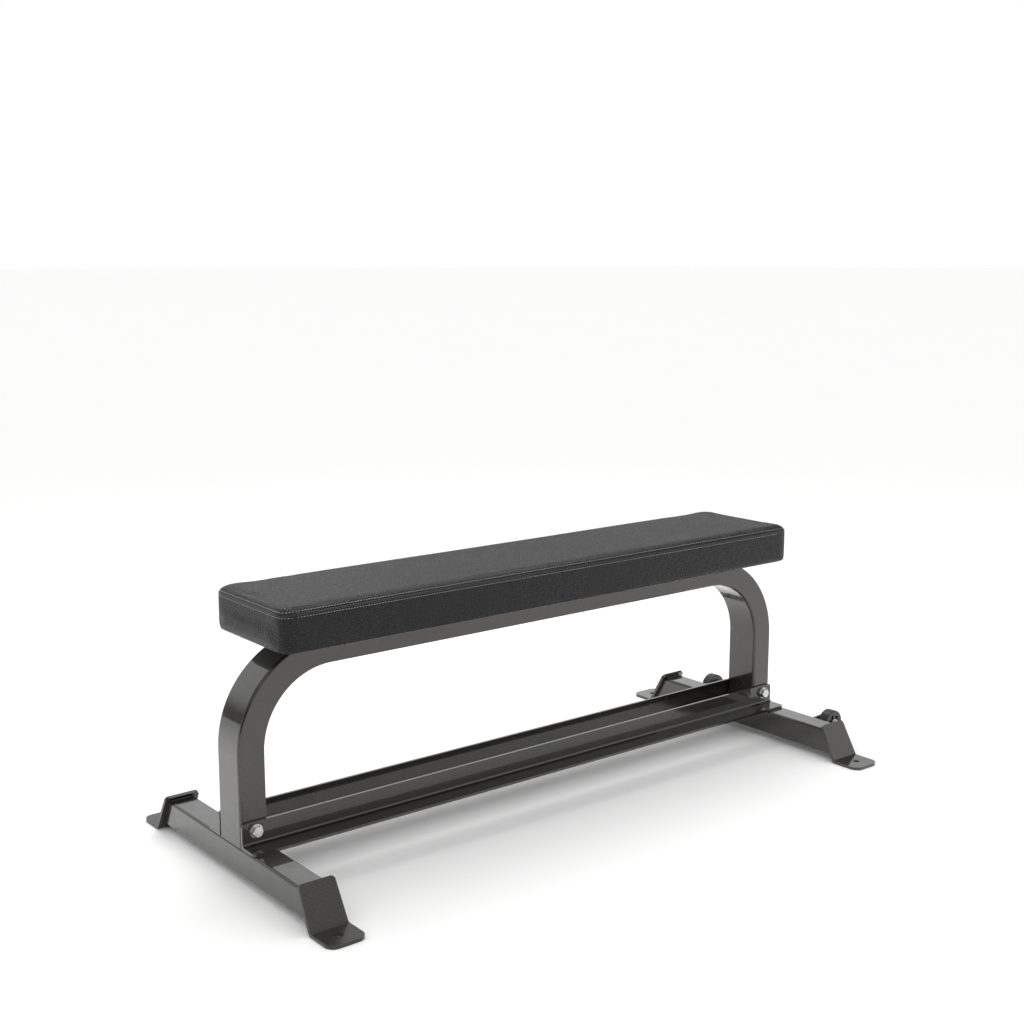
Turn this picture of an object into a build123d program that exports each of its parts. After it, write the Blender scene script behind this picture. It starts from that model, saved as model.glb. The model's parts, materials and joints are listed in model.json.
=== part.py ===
# Flat weight bench: a padded board on one bent tube, two cross feet, a bolted brace and two wheels.
# Millimetres. X runs along the bench, from the front foot (-X) to the rear foot with the wheels (+X).
# Y runs across it, right is -Y. Z = 0 is the floor. The origin is the centre of the four floor anchor holes.
import math
import os

from build123d import *

os.makedirs("parts", exist_ok=True)

# Arch: one rectangular tube, bent into two uprights and the seat rail
upright_spacing = 1259.6  # centre to centre of the uprights, and of the cross feet
rail_top = 405.2
tube_depth = 50.8  # in the plane of the arch, and the side of the square foot tube
tube_width = 76.2  # across the bench
tube_wall = 3.0
tube_corner = 5.0
bend_radius = 158.0  # on the tube's centre line

# Cross feet: square tubes, closed at each end by a bent plate that ends in a floor tab
foot_clearance = 12.0  # floor to the underside of the foot tube
foot_span = 611.0  # between the anchor holes of one foot
plate_thickness = 6.0
plate_width = 70.0
plate_taper = 2.0  # each side of the sloped part, from the bend to its top
plate_lean = 29.0  # degrees from upright, towards the bench's centre line
plate_bend = 29.0  # anchor hole centre to the bend line on the tab's top
plate_overtop = 10.5  # plate top above the foot tube
plate_top_corner = 8.0
tab_reach = 30.0  # anchor hole centre to the tab's outer edge
tab_corner = 17.0
plate_inner_bend = 4.0
anchor_hole = 12.7

# Brace: two equal angles, on the sides of the uprights and on the feet
angle_leg = 45.0
angle_thickness = 5.0
angle_root = 5.0
angle_toe = 2.0
angle_end_corner = 8.0

# Through bolts of the brace, M12
brace_bolt_height = 28.7  # above the foot tube
brace_bolt_size = 12.0
brace_head_flats = 18.0
brace_head_height = 7.5
brace_nut_height = 12.0
brace_nut_flats = 18.0
brace_washer_size = 24.0
brace_washer_thickness = 2.5
brace_bolt_spare = 3.5  # thread past the nut
hole_clearance = 0.5  # radial, bolts in drilled holes

# Pad
pad_length = 1227.8
pad_width = 243.7
pad_thickness = 77.4
pad_corner = 25.0
pad_top_round = 11.0
pad_bottom_round = 3.0
cover_thickness = 1.5
cover_return = 34.0  # strip of the cover that is stapled under the board
board_thickness = 18.0

# Pad bolts, M10, up through the rail into T-nuts
pad_bolt_pitch = 290.0
pad_bolt_count = 4
pad_bolt_size = 10.0
pad_head_flats = 16.0
pad_head_height = 6.4
pad_washer_size = 25.0
pad_washer_thickness = 2.0
t_nut_flange = 25.0
t_nut_flange_thickness = 1.6
t_nut_barrel = 12.0
t_nut_barrel_length = 13.0
thread_fit = 0.05  # radial, between a bolt and its nut

# Transport wheels
wheel_diameter = 53.0
wheel_width = 22.0
wheel_reach = 46.5  # foot tube's outer face to the axle
wheel_height = 44.1
wheel_spacing = 350.0  # between the middles of the two wheels
tyre_wall = 6.0
tyre_round = 2.5
hub_rim = 2.6
hub_boss = 17.0
hub_dish = 1.5  # depth of each face between the rim and the boss
hub_pockets = 6
hub_pocket_size = 8.0
hub_pocket_depth = 7.0
hub_pocket_start = 105.0  # degrees from +X, for the first pocket
bush_outer = 12.0
running_clearance = 0.06  # radial, hub on bush
side_clearance = 0.4  # hub to the washer on each side
axle_size = 8.0
axle_head_flats = 13.0
axle_head_height = 5.3
axle_nut_height = 8.0
axle_washer_size = 17.0
axle_washer_thickness = 1.6
axle_spare = 2.5
bracket_thickness = 5.0
bracket_end = 15.0  # radius round the axle
bracket_height = 34.0  # along the foot tube's face
bracket_drop = 5.0  # middle of that height, below the axle
bracket_root = 6.0  # straight part of the tab next to the foot tube

# Places that follow from the sizes above
upright_x = upright_spacing / 2
foot_top = foot_clearance + tube_depth
rail_centre = rail_top - tube_depth / 2
rail_bottom = rail_top - tube_depth
upright_side = tube_width / 2
foot_face = upright_x + tube_depth / 2
anchor_y = foot_span / 2
bend_y = anchor_y - plate_bend
tab_end_y = anchor_y + tab_reach
lean = math.radians(plate_lean)
plate_top = foot_top + plate_overtop
angle_length = 2 * foot_face
angle_face = upright_side + angle_thickness
flange_edge = upright_side + angle_leg
brace_bolt_z = foot_top + brace_bolt_height
board_bottom = rail_top + cover_thickness
board_top = board_bottom + board_thickness
pad_bolt_xs = [(i - (pad_bolt_count - 1) / 2) * pad_bolt_pitch for i in range(pad_bolt_count)]
wheel_x = foot_face + wheel_reach
wheel_y = wheel_spacing / 2
wheel_inner = wheel_y - wheel_width / 2 - side_clearance
wheel_outer = wheel_y + wheel_width / 2 + side_clearance
bracket_outer = wheel_inner - axle_washer_thickness
bracket_inner = bracket_outer - bracket_thickness

brace_bolt_axes = [Location((x, 0, brace_bolt_z), (90, 0, 0)) for x in (-upright_x, upright_x)]

ends = {"front": -1, "rear": 1}
sides = {"right": -1, "left": 1}


def finish(part, name):
    part.label = name
    export_step(part, f"parts/{name}.step")


# Arch frame: the tube is swept along its centre line, then drilled
with BuildPart() as arch_frame:
    with BuildLine(Plane.XZ) as arch_path:
        FilletPolyline(
            (-upright_x, foot_top),
            (-upright_x, rail_centre),
            (upright_x, rail_centre),
            (upright_x, foot_top),
            radius=bend_radius,
        )
    with BuildSketch(Plane((-upright_x, 0, foot_top), x_dir=(1, 0, 0), z_dir=(0, 0, 1))):
        RectangleRounded(tube_depth, tube_width, tube_corner)
        RectangleRounded(
            tube_depth - 2 * tube_wall,
            tube_width - 2 * tube_wall,
            tube_corner - tube_wall,
            mode=Mode.SUBTRACT,
        )
    sweep(path=arch_path.wires()[0])
    with Locations(*[Location((x, 0, rail_centre)) for x in pad_bolt_xs]):
        Cylinder(pad_bolt_size / 2 + hole_clearance, 2 * tube_depth, mode=Mode.SUBTRACT)
    with Locations(*brace_bolt_axes):
        Cylinder(brace_bolt_size / 2 + hole_clearance, 2 * tube_width, mode=Mode.SUBTRACT)
finish(arch_frame.part, "arch_frame")


# Foot plates: a floor tab bent up into a sloped plate that closes the end of the foot tube
def slope_plane(side):
    """The sloped plate's face on the tube side, facing away from the tube."""
    normal = (0, side * math.cos(lean), math.sin(lean))
    return Plane((0, side * bend_y, plate_thickness), z_dir=normal).offset(-plate_thickness)


slope_length = (plate_top - plate_thickness) / math.cos(lean)
slope_top = (bend_y - slope_length * math.sin(lean), plate_top)
slope_top_inner = (
    slope_top[0] - plate_thickness * math.cos(lean),
    slope_top[1] - plate_thickness * math.sin(lean),
)
taper_start = plate_thickness + plate_inner_bend
bend_bottom_y = bend_y - plate_thickness * (1 - math.sin(lean)) / math.cos(lean)

for end, end_sign in ends.items():
    for side, side_sign in sides.items():
        across = Plane((end_sign * upright_x, 0, 0), x_dir=(0, side_sign, 0), z_dir=(side_sign, 0, 0))
        with BuildPart() as foot_plate:
            with BuildSketch(across) as plate_section:
                with BuildLine():
                    Polyline(
                        (bend_bottom_y, 0),
                        (tab_end_y, 0),
                        (tab_end_y, plate_thickness),
                        (bend_y, plate_thickness),
                        slope_top,
                        slope_top_inner,
                        close=True,
                    )
                make_face()
            extrude(amount=plate_width / 2, both=True)
            bends = foot_plate.edges().filter_by(Axis.X)
            tab_top_line = (end_sign * upright_x, side_sign * bend_y, plate_thickness)
            tab_bottom_line = (end_sign * upright_x, side_sign * bend_bottom_y, 0)
            inner_bend = bends.sort_by_distance(tab_top_line)[0]
            outer_bend = bends.sort_by_distance(tab_bottom_line)[0]
            fillet(inner_bend, plate_inner_bend)
            fillet(outer_bend, plate_inner_bend + plate_thickness)
            with BuildSketch(Plane.XZ):
                with BuildLine():
                    Polyline(
                        (end_sign * upright_x - plate_width / 2, 0),
                        (end_sign * upright_x + plate_width / 2, 0),
                        (end_sign * upright_x + plate_width / 2, taper_start),
                        (end_sign * upright_x + plate_width / 2 - plate_taper, plate_top),
                        (end_sign * upright_x - plate_width / 2 + plate_taper, plate_top),
                        (end_sign * upright_x - plate_width / 2, taper_start),
                        close=True,
                    )
                make_face()
            extrude(amount=tab_end_y, both=True, mode=Mode.INTERSECT)
            fillet(foot_plate.edges().filter_by(Axis.Z), tab_corner)
            top_face = foot_plate.faces().sort_by(Axis.Z)[-1]
            fillet(top_face.edges().filter_by(Axis.X, reverse=True), plate_top_corner)
            with Locations((end_sign * upright_x, side_sign * anchor_y, plate_thickness)):
                Hole(anchor_hole / 2)
        finish(foot_plate.part, f"{end}_{side}_foot_plate")

# Cross feet: square tubes cut to the slope of their plates
for end, end_sign in ends.items():
    with BuildPart() as cross_foot:
        with BuildSketch(Plane.XZ):
            with Locations((end_sign * upright_x, foot_clearance + tube_depth / 2)):
                RectangleRounded(tube_depth, tube_depth, tube_corner)
                RectangleRounded(
                    tube_depth - 2 * tube_wall,
                    tube_depth - 2 * tube_wall,
                    tube_corner - tube_wall,
                    mode=Mode.SUBTRACT,
                )
        extrude(amount=anchor_y, both=True)
        for side_sign in sides.values():
            split(bisect_by=slope_plane(side_sign), keep=Keep.BOTTOM)
    finish(cross_foot.part, f"{end}_cross_foot")

# Brace angles: one leg against the uprights, the other out over the feet
for side, side_sign in sides.items():
    across = Plane((0, 0, 0), x_dir=(0, side_sign, 0), z_dir=(side_sign, 0, 0))
    with BuildPart() as brace_angle:
        with BuildSketch(across) as angle_section:
            with BuildLine():
                Polyline(
                    (upright_side, foot_top),
                    (flange_edge, foot_top),
                    (flange_edge, foot_top + angle_thickness),
                    (angle_face, foot_top + angle_thickness),
                    (angle_face, foot_top + angle_leg),
                    (upright_side, foot_top + angle_leg),
                    close=True,
                )
            make_face()
            corners = angle_section.vertices()
            fillet(corners.sort_by_distance((angle_face, foot_top + angle_thickness))[0], angle_root)
            fillet(corners.sort_by_distance((flange_edge, foot_top + angle_thickness))[0], angle_toe)
            fillet(corners.sort_by_distance((angle_face, foot_top + angle_leg))[0], angle_toe)
        extrude(amount=angle_length / 2, both=True)
        with BuildSketch(Plane.XZ):
            with Locations((0, foot_top)):
                RectangleRounded(angle_length, 2 * angle_leg, angle_end_corner)
        extrude(amount=flange_edge, both=True, mode=Mode.INTERSECT)
        with BuildSketch(Plane.XY):
            RectangleRounded(angle_length, 2 * flange_edge, angle_end_corner)
        extrude(amount=foot_top + angle_leg, mode=Mode.INTERSECT)
        with Locations(*brace_bolt_axes):
            Cylinder(brace_bolt_size / 2 + hole_clearance, 2 * tube_width, mode=Mode.SUBTRACT)
    finish(brace_angle.part, f"{side}_brace_angle")


# Fasteners are drawn with their bearing face at Z = 0 and the head or the nut above it
def hex_blank(flats, height):
    """Half profile of a hexagon's turned crown, to be revolved over the hexagon."""
    corner = flats / math.sqrt(3)
    crown = corner - 0.475 * flats
    shoulder = height - crown / math.sqrt(3)
    return [(0, 0), (corner, 0), (corner, shoulder), (corner - crown, height), (0, height)]


def hex_bolt(size, length, flats, head_height):
    with BuildPart() as bolt:
        with BuildSketch():
            RegularPolygon(flats / 2, 6, major_radius=False)
        extrude(amount=head_height)
        with BuildSketch(Plane.XZ):
            with BuildLine():
                Polyline(*hex_blank(flats, head_height), close=True)
            make_face()
        revolve(axis=Axis.Z, mode=Mode.INTERSECT)
        with BuildSketch():
            Circle(size / 2)
        extrude(amount=-length)
        chamfer(bolt.edges().filter_by(GeomType.CIRCLE).sort_by(Axis.Z)[0], size / 10)
    return bolt.part


def lock_nut(size, flats, height):
    collar = 0.3 * height
    with BuildPart() as nut:
        with BuildSketch():
            RegularPolygon(flats / 2, 6, major_radius=False)
        extrude(amount=height - collar)
        with BuildSketch(Plane.XZ):
            with BuildLine():
                Polyline(*hex_blank(flats, height - collar), close=True)
            make_face()
        revolve(axis=Axis.Z, mode=Mode.INTERSECT)
        with BuildSketch(Plane.XY.offset(height - collar)):
            Circle(0.44 * flats)
        extrude(amount=collar)
        fillet(nut.edges().filter_by(GeomType.CIRCLE).sort_by(Axis.Z)[-1], collar / 2)
        Hole(size / 2 + thread_fit)
    return nut.part


def washer(size, outer, thickness):
    with BuildPart() as ring:
        with BuildSketch():
            Circle(outer / 2)
            Circle(size / 2 + hole_clearance, mode=Mode.SUBTRACT)
        extrude(amount=thickness)
    return ring.part


# Brace fasteners: heads on the right, lock nuts on the left, a washer under each
head_face = angle_face + brace_washer_thickness
brace_bolt_length = 2 * head_face + brace_nut_height + brace_bolt_spare
brace_bolt = hex_bolt(brace_bolt_size, brace_bolt_length, brace_head_flats, brace_head_height)
brace_nut = lock_nut(brace_bolt_size, brace_nut_flats, brace_nut_height)
brace_washer = washer(brace_bolt_size, brace_washer_size, brace_washer_thickness)
brace_xs = (-upright_x, upright_x)

with BuildPart() as brace_bolts:
    for x in brace_xs:
        with Locations(Location((x, -head_face, brace_bolt_z), (90, 0, 0))):
            add(brace_bolt)
finish(brace_bolts.part, "brace_bolts")

with BuildPart() as brace_washers:
    for x in brace_xs:
        for side_sign in sides.values():
            with Locations(Location((x, side_sign * angle_face, brace_bolt_z), (-side_sign * 90, 0, 0))):
                add(brace_washer)
finish(brace_washers.part, "brace_washers")

with BuildPart() as brace_lock_nuts:
    for x in brace_xs:
        with Locations(Location((x, head_face, brace_bolt_z), (-90, 0, 0))):
            add(brace_nut)
finish(brace_lock_nuts.part, "brace_lock_nuts")

# Pad: the core is the space inside the cover, filled by the board below and the foam above
with BuildPart() as pad_core:
    with BuildSketch(Plane.XY.offset(board_bottom)):
        RectangleRounded(
            pad_length - 2 * cover_thickness, pad_width - 2 * cover_thickness, pad_corner - cover_thickness
        )
    extrude(amount=pad_thickness - 2 * cover_thickness)
    fillet(pad_core.faces().sort_by(Axis.Z)[-1].edges(), pad_top_round - cover_thickness)

with BuildPart() as pad_cover:
    with BuildSketch(Plane.XY.offset(rail_top)):
        RectangleRounded(pad_length, pad_width, pad_corner)
    extrude(amount=pad_thickness)
    fillet(pad_cover.faces().sort_by(Axis.Z)[-1].edges(), pad_top_round)
    fillet(pad_cover.faces().sort_by(Axis.Z)[0].edges(), pad_bottom_round)
    add(pad_core.part, mode=Mode.SUBTRACT)
    with BuildSketch(Plane.XY.offset(rail_top)):
        Rectangle(pad_length - 2 * cover_return, pad_width - 2 * cover_return)
    extrude(amount=cover_thickness, mode=Mode.SUBTRACT)
finish(pad_cover.part, "pad_cover")

with BuildPart() as pad_dust_cover:
    with BuildSketch(Plane.XY.offset(rail_top)):
        Rectangle(pad_length - 2 * cover_return, pad_width - 2 * cover_return)
        with Locations(*[(x, 0) for x in pad_bolt_xs]):
            Circle(pad_bolt_size / 2 + hole_clearance, mode=Mode.SUBTRACT)
    extrude(amount=cover_thickness)
finish(pad_dust_cover.part, "pad_dust_cover")

with BuildPart() as pad_board:
    with BuildSketch(Plane.XY.offset(board_bottom)):
        RectangleRounded(
            pad_length - 2 * cover_thickness, pad_width - 2 * cover_thickness, pad_corner - cover_thickness
        )
    extrude(amount=board_thickness)
    with Locations(*[(x, 0, board_top) for x in pad_bolt_xs]):
        CounterBoreHole(t_nut_barrel / 2 + thread_fit, t_nut_flange / 2 + thread_fit, t_nut_flange_thickness)
finish(pad_board.part, "pad_board")

with BuildPart() as pad_foam:
    add(pad_core.part)
    split(bisect_by=Plane.XY.offset(board_top), keep=Keep.TOP)
finish(pad_foam.part, "pad_foam")

with BuildPart() as pad_t_nuts:
    for x in pad_bolt_xs:
        with BuildSketch(Plane.XY.offset(board_top - t_nut_flange_thickness)):
            with Locations((x, 0)):
                Circle(t_nut_flange / 2)
        extrude(amount=t_nut_flange_thickness)
        with BuildSketch(Plane.XY.offset(board_top - t_nut_flange_thickness)):
            with Locations((x, 0)):
                Circle(t_nut_barrel / 2)
        extrude(amount=-t_nut_barrel_length)
    with Locations(*[(x, 0, board_top) for x in pad_bolt_xs]):
        Hole(pad_bolt_size / 2 + thread_fit)
finish(pad_t_nuts.part, "pad_t_nuts")

# Pad bolts come up through the rail, a washer under each head
pad_bolt_length = board_top - t_nut_flange_thickness - rail_bottom + pad_washer_thickness
pad_bolt = hex_bolt(pad_bolt_size, pad_bolt_length, pad_head_flats, pad_head_height)
pad_washer = washer(pad_bolt_size, pad_washer_size, pad_washer_thickness)

with BuildPart() as pad_bolts:
    for x in pad_bolt_xs:
        with Locations(Location((x, 0, rail_bottom - pad_washer_thickness), (180, 0, 0))):
            add(pad_bolt)
finish(pad_bolts.part, "pad_bolts")

with BuildPart() as pad_bolt_washers:
    for x in pad_bolt_xs:
        with Locations(Location((x, 0, rail_bottom), (180, 0, 0))):
            add(pad_washer)
finish(pad_bolt_washers.part, "pad_bolt_washers")

# Transport wheels: a tab on the foot tube, and outside it a wheel on a sleeve that its bolt clamps
tyre_inner = wheel_diameter / 2 - tyre_wall
hub_outer = tyre_inner - thread_fit
pocket_circle = (hub_outer - hub_rim + hub_boss / 2) / 2

for side, side_sign in sides.items():
    outward_plane = {"x_dir": (1, 0, 0), "z_dir": (0, side_sign, 0)}
    bracket_plane = Plane((wheel_x, side_sign * bracket_inner, wheel_height), **outward_plane)
    wheel_plane = Plane((wheel_x, side_sign * wheel_y, wheel_height), **outward_plane)

    with BuildPart() as wheel_bracket:
        with BuildSketch(bracket_plane):
            Circle(bracket_end)
            with Locations((bracket_root / 2 - wheel_reach, side_sign * bracket_drop)):
                Rectangle(bracket_root, bracket_height)
            make_hull()
            Circle(axle_size / 2 + hole_clearance, mode=Mode.SUBTRACT)
        extrude(amount=bracket_thickness)
    finish(wheel_bracket.part, f"{side}_wheel_bracket")

    with BuildPart() as wheel_tyre:
        with BuildSketch(wheel_plane):
            Circle(wheel_diameter / 2)
            Circle(tyre_inner, mode=Mode.SUBTRACT)
        extrude(amount=wheel_width / 2, both=True)
        fillet(wheel_tyre.edges().filter_by(GeomType.CIRCLE).group_by(SortBy.RADIUS)[-1], tyre_round)
    finish(wheel_tyre.part, f"{side}_wheel_tyre")

    with BuildPart() as wheel_hub:
        with BuildSketch(wheel_plane):
            Circle(hub_outer)
        extrude(amount=wheel_width / 2, both=True)
        for face_sign in (-1, 1):
            with BuildSketch(wheel_plane.offset(face_sign * wheel_width / 2)):
                Circle(hub_outer - hub_rim)
                Circle(hub_boss / 2, mode=Mode.SUBTRACT)
            extrude(amount=-face_sign * hub_dish, mode=Mode.SUBTRACT)
            with BuildSketch(wheel_plane.offset(face_sign * wheel_width / 2)):
                with PolarLocations(pocket_circle, hub_pockets, start_angle=hub_pocket_start):
                    Circle(hub_pocket_size / 2)
            extrude(amount=-face_sign * hub_pocket_depth, mode=Mode.SUBTRACT)
        with BuildSketch(wheel_plane):
            Circle(bush_outer / 2 + running_clearance)
        extrude(amount=wheel_width, both=True, mode=Mode.SUBTRACT)
    finish(wheel_hub.part, f"{side}_wheel_hub")

# Wheel fasteners, listed outward from the bracket: nut, washer, bracket, washer, sleeve, washer, head
axle_washer = washer(axle_size, axle_washer_size, axle_washer_thickness)
axle_head_face = wheel_outer + axle_washer_thickness
axle_nut_face = bracket_inner - axle_washer_thickness
axle_length = axle_head_face - axle_nut_face + axle_nut_height + axle_spare
axle_bolt = hex_bolt(axle_size, axle_length, axle_head_flats, axle_head_height)
axle_nut = lock_nut(axle_size, axle_head_flats, axle_nut_height)


def outward(side_sign, distance):
    """A place on the axle of one side, with local Z pointing away from the bench's centre line."""
    return Location((wheel_x, side_sign * distance, wheel_height), (-side_sign * 90, 0, 0))


with BuildPart() as wheel_bushes:
    for side_sign in sides.values():
        with BuildSketch(Plane(outward(side_sign, wheel_inner))):
            Circle(bush_outer / 2)
            Circle(axle_size / 2 + thread_fit, mode=Mode.SUBTRACT)
        extrude(amount=wheel_outer - wheel_inner)
finish(wheel_bushes.part, "wheel_bushes")

with BuildPart() as wheel_axle_bolts:
    for side_sign in sides.values():
        with Locations(outward(side_sign, axle_head_face)):
            add(axle_bolt)
finish(wheel_axle_bolts.part, "wheel_axle_bolts")

with BuildPart() as wheel_washers:
    for side_sign in sides.values():
        for distance in (axle_nut_face, bracket_outer, wheel_outer):
            with Locations(outward(side_sign, distance)):
                add(axle_washer)
finish(wheel_washers.part, "wheel_washers")

turned = Location((0, 0, 0), (180, 0, 0))  # faces the bench's centre line

with BuildPart() as wheel_lock_nuts:
    for side_sign in sides.values():
        with Locations(outward(side_sign, axle_nut_face) * turned):
            add(axle_nut)
finish(wheel_lock_nuts.part, "wheel_lock_nuts")
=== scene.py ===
# Flat weight bench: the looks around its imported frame, in metres and in the frame's own axes.
# X runs along the bench, the wheels are at +X, the right side is -Y, and Z = 0 is the floor.
import json
import math

import bpy
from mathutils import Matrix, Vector
from mathutils.bvhtree import BVHTree


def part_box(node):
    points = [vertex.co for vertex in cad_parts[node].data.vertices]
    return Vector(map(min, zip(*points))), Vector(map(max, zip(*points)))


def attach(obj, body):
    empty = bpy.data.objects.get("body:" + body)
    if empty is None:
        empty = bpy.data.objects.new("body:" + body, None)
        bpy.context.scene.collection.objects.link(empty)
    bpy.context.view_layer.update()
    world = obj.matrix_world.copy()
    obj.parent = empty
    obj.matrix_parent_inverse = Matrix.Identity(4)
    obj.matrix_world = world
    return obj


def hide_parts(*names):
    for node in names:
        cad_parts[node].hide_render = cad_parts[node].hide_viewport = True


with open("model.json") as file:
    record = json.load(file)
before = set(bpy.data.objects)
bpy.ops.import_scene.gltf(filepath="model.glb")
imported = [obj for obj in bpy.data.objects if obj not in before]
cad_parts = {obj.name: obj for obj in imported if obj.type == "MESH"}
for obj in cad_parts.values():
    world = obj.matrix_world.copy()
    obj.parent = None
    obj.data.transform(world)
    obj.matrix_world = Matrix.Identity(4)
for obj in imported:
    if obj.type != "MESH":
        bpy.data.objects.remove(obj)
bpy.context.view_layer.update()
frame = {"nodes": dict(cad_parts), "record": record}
nodes = frame["nodes"]
mm = 0.001


# Small tools
def clearSelection():
    if bpy.context.object and bpy.context.object.mode != "OBJECT":
        bpy.ops.object.mode_set(mode="OBJECT")
    bpy.ops.object.select_all(action="DESELECT")


def makeActive(piece):
    clearSelection()
    piece.select_set(True)
    bpy.context.view_layer.objects.active = piece


# Edit mode with only the edges selected whose two end points pass the test
def pickEdges(piece, wanted):
    makeActive(piece)
    bpy.ops.object.mode_set(mode="EDIT")
    bpy.ops.mesh.select_mode(type="EDGE")
    bpy.ops.mesh.select_all(action="DESELECT")
    bpy.ops.object.mode_set(mode="OBJECT")
    corners = piece.data.vertices
    for edge in piece.data.edges:
        a, b = (corners[i].co for i in edge.vertices)
        edge.select = wanted(a, b)
    bpy.ops.object.mode_set(mode="EDIT")


def applyModifier(piece, kind, **settings):
    makeActive(piece)
    modifier = piece.modifiers.new(kind.title(), kind)
    for name, value in settings.items():
        setattr(modifier, name, value)
    bpy.ops.object.modifier_apply(modifier=modifier.name)


# Repeats a piece along +X, "step" apart, until there are "count" of it
def repeatAlong(piece, step, count):
    applyModifier(
        piece,
        "ARRAY",
        use_relative_offset=False,
        use_constant_offset=True,
        constant_offset_displace=(step, 0, 0),
        count=count,
    )


def smooth(piece, degrees=40):
    makeActive(piece)
    bpy.ops.object.shade_smooth_by_angle(angle=math.radians(degrees))


def applyPlace(piece):
    makeActive(piece)
    bpy.ops.object.transform_apply(location=True, rotation=True, scale=True)


def finishPiece(piece, name, body, material):
    piece.name = name
    piece.data.name = name
    piece.data.materials.clear()
    piece.data.materials.append(material)
    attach(piece, body)
    return piece


# Materials: each is a Principled shader whose colour, roughness and bump come from patterns in metres
def newMaterial(name, **shaderValues):
    material = bpy.data.materials.new(name)
    material.use_nodes = True
    tree = material.node_tree
    shader = tree.nodes["Principled BSDF"]
    for socket, value in shaderValues.items():
        shader.inputs[socket.replace("_", " ")].default_value = value
    place = tree.nodes.new("ShaderNodeTexCoord")
    return material, tree, shader, place.outputs["Object"]


def addNode(tree, kind, inputs=(), **settings):
    node = tree.nodes.new("ShaderNode" + kind)
    for name, value in settings.items():
        setattr(node, name, value)
    for socket, value in dict(inputs).items():
        if isinstance(value, bpy.types.NodeSocket):
            tree.links.new(value, node.inputs[socket])
        else:
            node.inputs[socket].default_value = value
    return node


def noise(tree, place, scale, detail=2.0, roughness=0.5):
    inputs = {"Vector": place, "Scale": scale, "Detail": detail, "Roughness": roughness}
    return addNode(tree, "TexNoise", inputs).outputs["Fac"]


def stretched(tree, place, scale, turn=(0.0, 0.0, 0.0)):
    mapping = addNode(tree, "Mapping", {"Vector": place, "Scale": scale, "Rotation": turn})
    return mapping.outputs["Vector"]


# A pattern's value carried over to a range
def spread(tree, value, low, high, fromLow=0.3, fromHigh=0.7):
    inputs = {"Value": value, "From Min": fromLow, "From Max": fromHigh, "To Min": low, "To Max": high}
    return addNode(tree, "MapRange", inputs).outputs["Result"]


def blendColours(tree, factor, first, second):
    mix = addNode(tree, "Mix", {"Factor": factor}, data_type="RGBA")
    for socket, colour in ((6, first), (7, second)):
        if isinstance(colour, bpy.types.NodeSocket):
            tree.links.new(colour, mix.inputs[socket])
        else:
            mix.inputs[socket].default_value = (*colour, 1)
    return mix.outputs[2]


# Colours the shader by a pattern, from the first colour to the second
def paintWith(tree, shader, pattern, first, second):
    tree.links.new(blendColours(tree, pattern, first, second), shader.inputs["Base Color"])


def calculate(tree, operation, first, second):
    node = tree.nodes.new("ShaderNodeMath")
    node.operation = operation
    for socket, value in enumerate((first, second)):
        if isinstance(value, bpy.types.NodeSocket):
            tree.links.new(value, node.inputs[socket])
        else:
            node.inputs[socket].default_value = value
    return node.outputs[0]


def addBump(tree, shader, height, distance, strength=1.0):
    bump = addNode(tree, "Bump", {"Height": height, "Distance": distance, "Strength": strength})
    old = shader.inputs["Normal"].links
    if old:
        tree.links.new(old[0].from_socket, bump.inputs["Normal"])
    tree.links.new(bump.outputs["Normal"], shader.inputs["Normal"])


gunmetal = {
    "dark": (0.012, 0.0108, 0.0096),
    "light": (0.040, 0.0355, 0.031),
    "flakeSize": 0.0009,
    "peelSize": 0.012,
}


def makeGunmetalPaint():
    material, tree, shader, place = newMaterial(
        "gunmetalPaint", Metallic=0.6, Coat_Weight=1.0, Coat_Roughness=0.03, Coat_IOR=1.6
    )
    flakes = addNode(tree, "TexVoronoi", {"Vector": place, "Scale": 1 / gunmetal["flakeSize"]})
    flakeLight = spread(tree, flakes.outputs["Color"], 0, 1, 0.2, 0.95)
    cloudy = noise(tree, place, 9, 3)
    share = calculate(tree, "MULTIPLY", flakeLight, spread(tree, cloudy, 0.55, 1.0))
    paintWith(tree, shader, share, gunmetal["dark"], gunmetal["light"])
    tree.links.new(spread(tree, noise(tree, place, 35, 4), 0.26, 0.38), shader.inputs["Roughness"])
    addBump(tree, shader, noise(tree, place, 1 / gunmetal["peelSize"], 1.5), 0.00008)
    return material


# The same paint over a coarse cast skin, as on the end plates
def makeSpeckledPaint():
    material, tree, shader, place = newMaterial(
        "speckledPaint", Metallic=0.3, Coat_Weight=0.6, Coat_Roughness=0.22, Coat_IOR=1.5
    )
    specks = noise(tree, place, 420, 2, 0.6)
    tone = spread(tree, specks, 0, 1, 0.45, 0.7)
    paintWith(tree, shader, tone, gunmetal["dark"], gunmetal["light"])
    tree.links.new(spread(tree, specks, 0.3, 0.55), shader.inputs["Roughness"])
    addBump(tree, shader, specks, 0.0006)
    return material


def makeZinc():
    material, tree, shader, place = newMaterial("brightZinc", Metallic=1.0)
    cloudy = noise(tree, place, 160, 3)
    paintWith(tree, shader, cloudy, (0.50, 0.50, 0.51), (0.80, 0.80, 0.79))
    tree.links.new(spread(tree, noise(tree, place, 700, 3), 0.18, 0.38), shader.inputs["Roughness"])
    addBump(tree, shader, noise(tree, place, 900, 2), 0.00006)
    return material


vinyl = {
    "colour": (0.0045, 0.0045, 0.0047),
    # The second, darker colour is painted shade for the grain's valleys
    "creaseShade": (0.0015, 0.0015, 0.0015),
    "cellSize": 0.0050,
    "depth": 0.0009,
}


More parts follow.
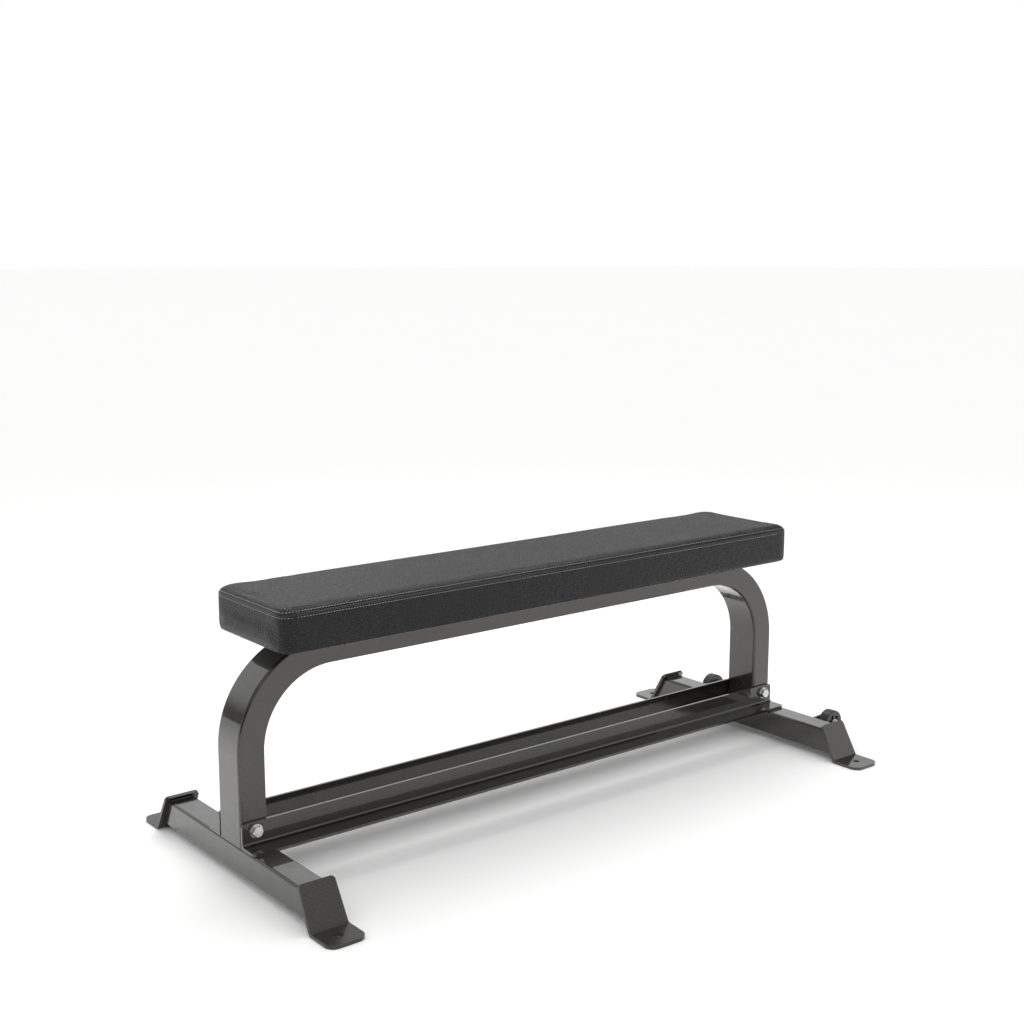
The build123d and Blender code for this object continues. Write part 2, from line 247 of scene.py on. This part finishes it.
def makeVinyl():
    material, tree, shader, place = newMaterial("grainedVinyl", Specular_IOR_Level=0.38)
    wander = addNode(tree, "TexNoise", {"Vector": place, "Scale": 120.0, "Detail": 2.0})
    centred = {0: wander.outputs["Color"], 1: (0.5, 0.5, 0.5)}
    shift = addNode(tree, "VectorMath", centred, operation="SUBTRACT")
    small = addNode(tree, "VectorMath", {0: shift.outputs[0], "Scale": 0.0035}, operation="SCALE")
    bent = addNode(tree, "VectorMath", {0: place, 1: small.outputs[0]}, operation="ADD")
    cellInputs = {"Vector": bent.outputs[0], "Scale": 1 / vinyl["cellSize"]}
    cells = addNode(tree, "TexVoronoi", cellInputs, feature="DISTANCE_TO_EDGE")
    grain = spread(tree, cells.outputs["Distance"], 0, 1, 0.0, 0.22)
    fine = noise(tree, place, 1500, 2)
    height = calculate(tree, "ADD", grain, calculate(tree, "MULTIPLY", fine, 0.18))
    # The grain's valleys are painted darker: painted shade in the creases between the grain cells
    paintWith(tree, shader, grain, vinyl["creaseShade"], vinyl["colour"])
    handled = spread(tree, noise(tree, place, 6, 3), 0.0, 0.07)
    rough = calculate(tree, "ADD", spread(tree, grain, 0.40, 0.24, 0, 1), handled)
    tree.links.new(rough, shader.inputs["Roughness"])
    addBump(tree, shader, height, vinyl["depth"])
    addBump(tree, shader, noise(tree, place, 28, 2), 0.0007, 0.5)
    return material


def makeThread():
    material, tree, shader, place = newMaterial("thread")
    twistInputs = {"Vector": place, "Scale": 260.0, "Distortion": 1.5}
    twist = addNode(tree, "TexWave", twistInputs, bands_direction="DIAGONAL")
    # The thread is painted light grey, paler along the twist: the grey is the thread's own colour, the
    # lightness is a painted highlight standing for the sheen of the stitches
    paintWith(tree, shader, twist.outputs["Fac"], (0.30, 0.30, 0.30), (0.62, 0.62, 0.60))
    tree.links.new(spread(tree, twist.outputs["Fac"], 0.35, 0.5, 0, 1), shader.inputs["Roughness"])
    addBump(tree, shader, twist.outputs["Fac"], 0.0001)
    return material


def makeRubber():
    material, tree, shader, place = newMaterial("wheelRubber")
    mottled = noise(tree, place, 90, 4)
    paintWith(tree, shader, mottled, (0.018, 0.021, 0.020), (0.040, 0.045, 0.042))
    tree.links.new(spread(tree, noise(tree, place, 300, 3), 0.22, 0.38), shader.inputs["Roughness"])
    addBump(tree, shader, noise(tree, place, 900, 2), 0.00012)
    return material


def makeHubPlastic():
    material, tree, shader, place = newMaterial("hubPlastic")
    mottled = noise(tree, place, 120, 3)
    paintWith(tree, shader, mottled, (0.03, 0.034, 0.032), (0.06, 0.066, 0.062))
    tree.links.new(spread(tree, noise(tree, place, 400, 2), 0.16, 0.30), shader.inputs["Roughness"])
    addBump(tree, shader, noise(tree, place, 1400, 2), 0.00006)
    return material


def makePlywood():
    material, tree, shader, place = newMaterial("plywood", Roughness=0.7)
    grain = noise(tree, stretched(tree, place, (6, 90, 400)), 1, 5)
    paintWith(tree, shader, grain, (0.33, 0.22, 0.12), (0.62, 0.47, 0.30))
    addBump(tree, shader, grain, 0.0002)
    return material


def makeFoam():
    material, tree, shader, place = newMaterial("foam", Roughness=0.95)
    pores = addNode(tree, "TexVoronoi", {"Vector": place, "Scale": 900.0})
    # Pores painted darker than the foam between them: painted shade in the pores, over the foam's own
    # yellow colour
    paintWith(tree, shader, pores.outputs["Distance"], (0.45, 0.40, 0.28), (0.80, 0.76, 0.62))
    addBump(tree, shader, pores.outputs["Distance"], 0.0004)
    return material


def makeDustCloth():
    material, tree, shader, place = newMaterial("dustCloth", Roughness=0.9)
    dimples = addNode(tree, "TexVoronoi", {"Vector": place, "Scale": 420.0, "Randomness": 0.25})
    fibres = noise(tree, stretched(tree, place, (900, 250, 900), (0, 0, 0.6)), 1, 4)
    fuzz = calculate(tree, "MULTIPLY", fibres, 0.5)
    height = calculate(tree, "ADD", dimples.outputs["Distance"], fuzz)
    # Colour follows the height: the fibre streaks are the cloth's own tone, the darker dimples are
    # painted shade
    paintWith(tree, shader, height, (0.006, 0.006, 0.006), (0.030, 0.030, 0.031))
    addBump(tree, shader, height, 0.0003)
    return material


gunmetalPaint = makeGunmetalPaint()
speckledPaint = makeSpeckledPaint()
brightZinc = makeZinc()
grainedVinyl = makeVinyl()
thread = makeThread()
wheelRubber = makeRubber()
hubPlastic = makeHubPlastic()
plywood = makePlywood()
foam = makeFoam()
dustCloth = makeDustCloth()

finishes = {
    "frame_paint": gunmetalPaint,
    "zinc": brightZinc,
    "vinyl": grainedVinyl,
    "foam": foam,
    "plywood": plywood,
    "dust_cloth": dustCloth,
    "wheel_rubber": wheelRubber,
    "wheel_plastic": hubPlastic,
}
for part in frame["record"]["subparts"]:
    node = nodes[part["node"]]
    node.data.materials.clear()
    node.data.materials.append(finishes[part["material_slot"]])
for name, node in nodes.items():
    if name.startswith("front") and name.endswith("foot_plate"):
        node.data.materials[0] = speckledPaint
print("materials done")


# The padded seat: a cut block blown up as cloth, then its seam
seat = {
    "under": 0.0015,
    "plan": 0.025,
    "topRound": 0.008,
    "bottomRound": 0.006,
    "voxel": 0.0065,
    "pressure": 4,
    "frames": 20,
    "cap": 0.003,
    "heldBelow": 0.012,
}
seatLow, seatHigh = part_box("pad_cover")


# A block a little under the cover's size, with round plan corners and round top and bottom edges
def makeSeatBlock():
    clearSelection()
    low = seatLow + Vector((seat["under"], seat["under"], 0))
    high = seatHigh - Vector((seat["under"], seat["under"], seat["under"]))
    bpy.ops.mesh.primitive_cube_add(size=1, location=(low + high) / 2)
    piece = bpy.context.object
    piece.scale = high - low
    applyPlace(piece)
    pickEdges(piece, lambda a, b: abs(a.z - b.z) > 0.01)
    bpy.ops.mesh.bevel(offset=seat["plan"], segments=8)
    pickEdges(piece, lambda a, b: min(a.z, b.z) > high.z - mm)
    bpy.ops.mesh.bevel(offset=seat["topRound"], segments=4)
    pickEdges(piece, lambda a, b: max(a.z, b.z) < low.z + mm)
    bpy.ops.mesh.bevel(offset=seat["bottomRound"], segments=3)
    bpy.ops.object.mode_set(mode="OBJECT")
    return piece


# Cloth filled from inside, its underside held; each point keeps only its outward swell, up to a cap
def blowUp(piece):
    applyModifier(piece, "REMESH", mode="VOXEL", voxel_size=seat["voxel"])
    rest = [v.co.copy() for v in piece.data.vertices]
    outwards = [v.normal.copy() for v in piece.data.vertices]
    held = [i for i, point in enumerate(rest) if point.z < seatLow.z + seat["heldBelow"]]
    piece.vertex_groups.new(name="held").add(held, 1.0, "REPLACE")
    makeActive(piece)
    cloth = piece.modifiers.new("Filling", "CLOTH")
    cloth.settings.use_pressure = True
    cloth.settings.uniform_pressure_force = seat["pressure"]
    cloth.settings.vertex_group_mass = "held"
    cloth.settings.effector_weights.gravity = 0
    scene = bpy.context.scene
    for step in range(1, seat["frames"] + 1):
        scene.frame_set(step)
    bpy.ops.object.modifier_apply(modifier=cloth.name)
    scene.frame_set(1)
    for vertex, start, outward in zip(piece.data.vertices, rest, outwards):
        swell = (vertex.co - start).dot(outward)
        vertex.co = start + outward * min(max(swell, 0), seat["cap"])
    applyModifier(piece, "SMOOTH", iterations=2)
    applyModifier(piece, "SUBSURF", levels=1)


# Stretches the seat along and across to the cover's own length and width
def fitToCover(piece):
    span = [max(v.co[axis] for v in piece.data.vertices) for axis in (0, 1)]
    piece.scale = (seatHigh.x / span[0], seatHigh.y / span[1], 1)
    applyPlace(piece)


seatPiece = makeSeatBlock()
blowUp(seatPiece)
fitToCover(seatPiece)
makeActive(seatPiece)
bpy.ops.object.shade_smooth()
finishPiece(seatPiece, "seat_pad", "bench", grainedVinyl)
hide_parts("pad_cover", "pad_foam", "pad_board")
print("seat done")

seam = {
    "rows": {"lower": (0.0, 0.0141), "upper": (0.0045, 0.0055)},
    "pitch": 0.0056,
    "stitch": (0.0040, 0.0011, 0.0009),
    "bandMiddle": (0.0012, 0.0098),
    "bandDepth": 0.0024,
    "bandSink": -0.0012,
    "stitchLift": 0.0003,
    "straightCuts": 60,
    "easing": 4,
}


# A closed path round the seat, inset from its sides and below its top, laid on its surface
def layRound(inset, drop, lift):
    clearSelection()
    low = seatLow + Vector((inset, inset, 0))
    high = seatHigh - Vector((inset, inset, 0))
    middle = (low + high) / 2
    bpy.ops.mesh.primitive_plane_add(size=1, location=(middle.x, middle.y, seatHigh.z - drop))
    path = bpy.context.object
    path.scale = (high.x - low.x, high.y - low.y, 1)
    applyPlace(path)
    bpy.ops.object.mode_set(mode="EDIT")
    bpy.ops.mesh.select_all(action="SELECT")
    bpy.ops.mesh.delete(type="ONLY_FACE")
    bpy.ops.mesh.select_all(action="SELECT")
    bpy.ops.mesh.bevel(offset=seat["plan"] - inset, segments=8, affect="VERTICES")
    bpy.ops.mesh.select_all(action="DESELECT")
    bpy.ops.object.mode_set(mode="OBJECT")
    corners = path.data.vertices
    for edge in path.data.edges:
        a, b = (corners[i].co for i in edge.vertices)
        edge.select = (a - b).length > 2 * seat["plan"]
    bpy.ops.object.mode_set(mode="EDIT")
    bpy.ops.mesh.subdivide(number_cuts=seam["straightCuts"])
    bpy.ops.object.mode_set(mode="OBJECT")
    applyModifier(
        path,
        "SHRINKWRAP",
        target=seatPiece,
        wrap_method="NEAREST_SURFACEPOINT",
        wrap_mode="ABOVE_SURFACE",
        offset=lift,
    )
    applyModifier(path, "SMOOTH", iterations=seam["easing"])
    makeActive(path)
    bpy.ops.object.convert(target="CURVE")
    return bpy.context.object


def makeStitchRow(name, inset, drop):
    path = layRound(inset, drop, seam["stitchLift"])
    clearSelection()
    bpy.ops.mesh.primitive_uv_sphere_add(segments=8, ring_count=6, radius=0.5)
    row = bpy.context.object
    row.scale = seam["stitch"]
    applyPlace(row)
    length = path.data.splines[0].calc_length()
    count = round(length / seam["pitch"])
    row.location = path.location
    repeatAlong(row, length / count, count)
    applyModifier(row, "CURVE", object=path)
    bpy.data.objects.remove(path)
    makeActive(row)
    bpy.ops.object.shade_smooth()
    return finishPiece(row, name, "bench", thread)


# The folded hem that stands between the two stitch rows
def makeSeamBand():
    band = layRound(*seam["bandMiddle"], seam["bandSink"])
    band.data.bevel_depth = seam["bandDepth"]
    band.data.bevel_resolution = 3
    makeActive(band)
    bpy.ops.object.convert(target="MESH")
    bpy.ops.object.shade_smooth()
    return finishPiece(bpy.context.object, "seat_seam_band", "bench", bandVinyl)


def makeBandVinyl():
    material, tree, shader, place = newMaterial("bandVinyl", Specular_IOR_Level=0.5)
    wear = noise(tree, place, 60, 3)
    paintWith(tree, shader, wear, (0.004, 0.004, 0.004), (0.010, 0.010, 0.010))
    tree.links.new(spread(tree, wear, 0.24, 0.36), shader.inputs["Roughness"])
    addBump(tree, shader, noise(tree, place, 500, 2), 0.0001)
    return material


bandVinyl = makeBandVinyl()
for rowName, (inset, drop) in seam["rows"].items():
    makeStitchRow("seat_stitches_" + rowName, inset, drop)
makeSeamBand()
print("seam done")


# Weld beads: rows of overlapping ripples along straight joints, "inset" short of the tube's edges
weld = {"pitch": 0.0022, "size": 0.0052, "flat": 0.75, "inset": 0.006, "probeLift": 0.001}


def layBead(start, end):
    clearSelection()
    bpy.ops.mesh.primitive_uv_sphere_add(segments=10, ring_count=8, radius=weld["size"] / 2)
    bead = bpy.context.object
    bead.scale = (weld["flat"], 1, 1)
    applyPlace(bead)
    run = end - start
    count = max(2, round(run.length / weld["pitch"]))
    repeatAlong(bead, run.length / (count - 1), count)
    bead.rotation_euler = run.to_track_quat("X", "Z").to_euler()
    bead.location = start
    applyPlace(bead)
    return bead


# Beads across the top of a foot tube, at the given distances from the bench's middle line
def makeWelds(name, footName, distances):
    low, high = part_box(footName)
    beads = [
        layBead(
            Vector((low.x + weld["inset"], distance, high.z)),
            Vector((high.x - weld["inset"], distance, high.z)),
        )
        for distance in distances
    ]
    makeActive(beads[0])
    for bead in beads:
        bead.select_set(True)
    bpy.ops.object.join()
    bpy.ops.object.shade_smooth()
    return finishPiece(bpy.context.object, name, "bench", gunmetalPaint)


# How far out a foot plate's inner face stands, just over the foot tube
def plateDistance(footName, plateName, sign):
    low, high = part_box(footName)
    start = Vector(((low.x + high.x) / 2, 0, high.z + weld["probeLift"]))
    plate = BVHTree.FromObject(nodes[plateName], bpy.context.evaluated_depsgraph_get())
    return plate.ray_cast(start, Vector((0, sign, 0)))[0].y


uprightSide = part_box("arch_frame")[1].y
for end in ("front", "rear"):
    foot = end + "_cross_foot"
    makeWelds(end + "_upright_welds", foot, (-uprightSide, uprightSide))
    plates = [
        plateDistance(foot, f"{end}_{hand}_foot_plate", sign)
        for hand, sign in (("right", -1), ("left", 1))
    ]
    makeWelds(end + "_plate_welds", foot, plates)
print("welds done")


# Staples that hold the cover's return to the board, under the seat
staple = {"wide": 0.011, "wire": 0.0011, "pitch": 0.036, "inset": 0.024, "cornerGap": 0.02, "sink": 0.2}


# Flat crowns laid end to end along the run, at an even pitch
def makeStapleRow(name, start, end):
    clearSelection()
    bpy.ops.mesh.primitive_cube_add(size=1)
    row = bpy.context.object
    row.scale = (staple["wide"], staple["wire"], staple["wire"])
    applyPlace(row)
    applyModifier(row, "BEVEL", width=staple["wire"] / 4, segments=2)
    run = end - start
    count = round(run.length / staple["pitch"]) + 1
    repeatAlong(row, run.length / (count - 1), count)
    row.rotation_euler.z = math.atan2(run.y, run.x)
    row.location = start
    applyPlace(row)
    smooth(row)
    return finishPiece(row, name, "bench", brightZinc)


def makeStaples():
    near, far = (
        Vector((corner.x + step, corner.y + step, seatLow.z - staple["wire"] * staple["sink"]))
        for corner, step in ((seatLow, staple["inset"]), (seatHigh, -staple["inset"]))
    )
    corners = [
        near,
        Vector((far.x, near.y, near.z)),
        far,
        Vector((near.x, far.y, near.z)),
    ]
    for index, sideName in enumerate(("right", "rear", "left", "front")):
        start, end = corners[index], corners[(index + 1) % 4]
        gap = (end - start).normalized() * staple["cornerGap"]
        makeStapleRow("seat_staples_" + sideName, start + gap, end - gap)


makeStaples()
print("staples done")


# Floor, light and camera
def makeFloor():
    clearSelection()
    bpy.ops.mesh.primitive_plane_add(size=300, location=(0, 0, 0))
    floor = bpy.context.object
    floor.name = "studio_floor"
    material, tree, shader, place = newMaterial("paleFloor", Roughness=0.9, Specular_IOR_Level=0.1)
    soft = noise(tree, place, 1.2, 2)
    paintWith(tree, shader, soft, (0.98, 0.977, 0.973), (0.99, 0.988, 0.985))
    addBump(tree, shader, noise(tree, place, 300, 2), 0.0001)
    floor.data.materials.append(material)


def makeWorld(lightStrength):
    world = bpy.data.worlds.new("studio")
    bpy.context.scene.world = world
    world.use_nodes = True
    tree = world.node_tree
    background = tree.nodes["Background"]
    background.inputs["Color"].default_value = (1, 1, 1, 1)
    path = tree.nodes.new("ShaderNodeLightPath")
    direction = tree.nodes.new("ShaderNodeTexCoord").outputs["Generated"]
    panels = spread(tree, noise(tree, direction, 1.6, 1), 0.12, 1.0, 0.42, 0.56)
    mixed = lightStrength
    for ray, level in (("Is Glossy Ray", panels), ("Is Camera Ray", 1.0)):
        inputs = {"Factor": path.outputs[ray], "A": mixed, "B": level}
        mixed = addNode(tree, "Mix", inputs, data_type="FLOAT").outputs["Result"]
    tree.links.new(mixed, background.inputs["Strength"])


def makeSoftLamp(name, place, aim, size, power):
    clearSelection()
    bpy.ops.object.light_add(type="AREA", location=place)
    lamp = bpy.context.object
    lamp.name = name
    lamp.data.shape = "RECTANGLE"
    lamp.data.size, lamp.data.size_y = size
    lamp.data.energy = power
    lamp.rotation_euler = (Vector(aim) - Vector(place)).to_track_quat("-Z", "Y").to_euler()


view = {
    "place": (-1.71678, -2.10582, 1.03806),
    "turn": (math.radians(80.04), 0, math.radians(-38.44)),
    "lens": 50.59,
    "sensor": 36,
}


def makeCamera():
    clearSelection()
    bpy.ops.object.camera_add(location=view["place"], rotation=view["turn"])
    camera = bpy.context.object
    camera.name = "main_camera"
    camera.data.sensor_width = view["sensor"]
    camera.data.lens = view["lens"]
    bpy.context.scene.camera = camera


makeFloor()
makeWorld(lightStrength=1.0)
makeSoftLamp("overhead_softbox", place=(0.3, 0.8, 2.4), aim=(0, 0, 0.2), size=(2.2, 1.6), power=26)
makeCamera()
bpy.context.scene.view_settings.view_transform = "Standard"
print("studio done")
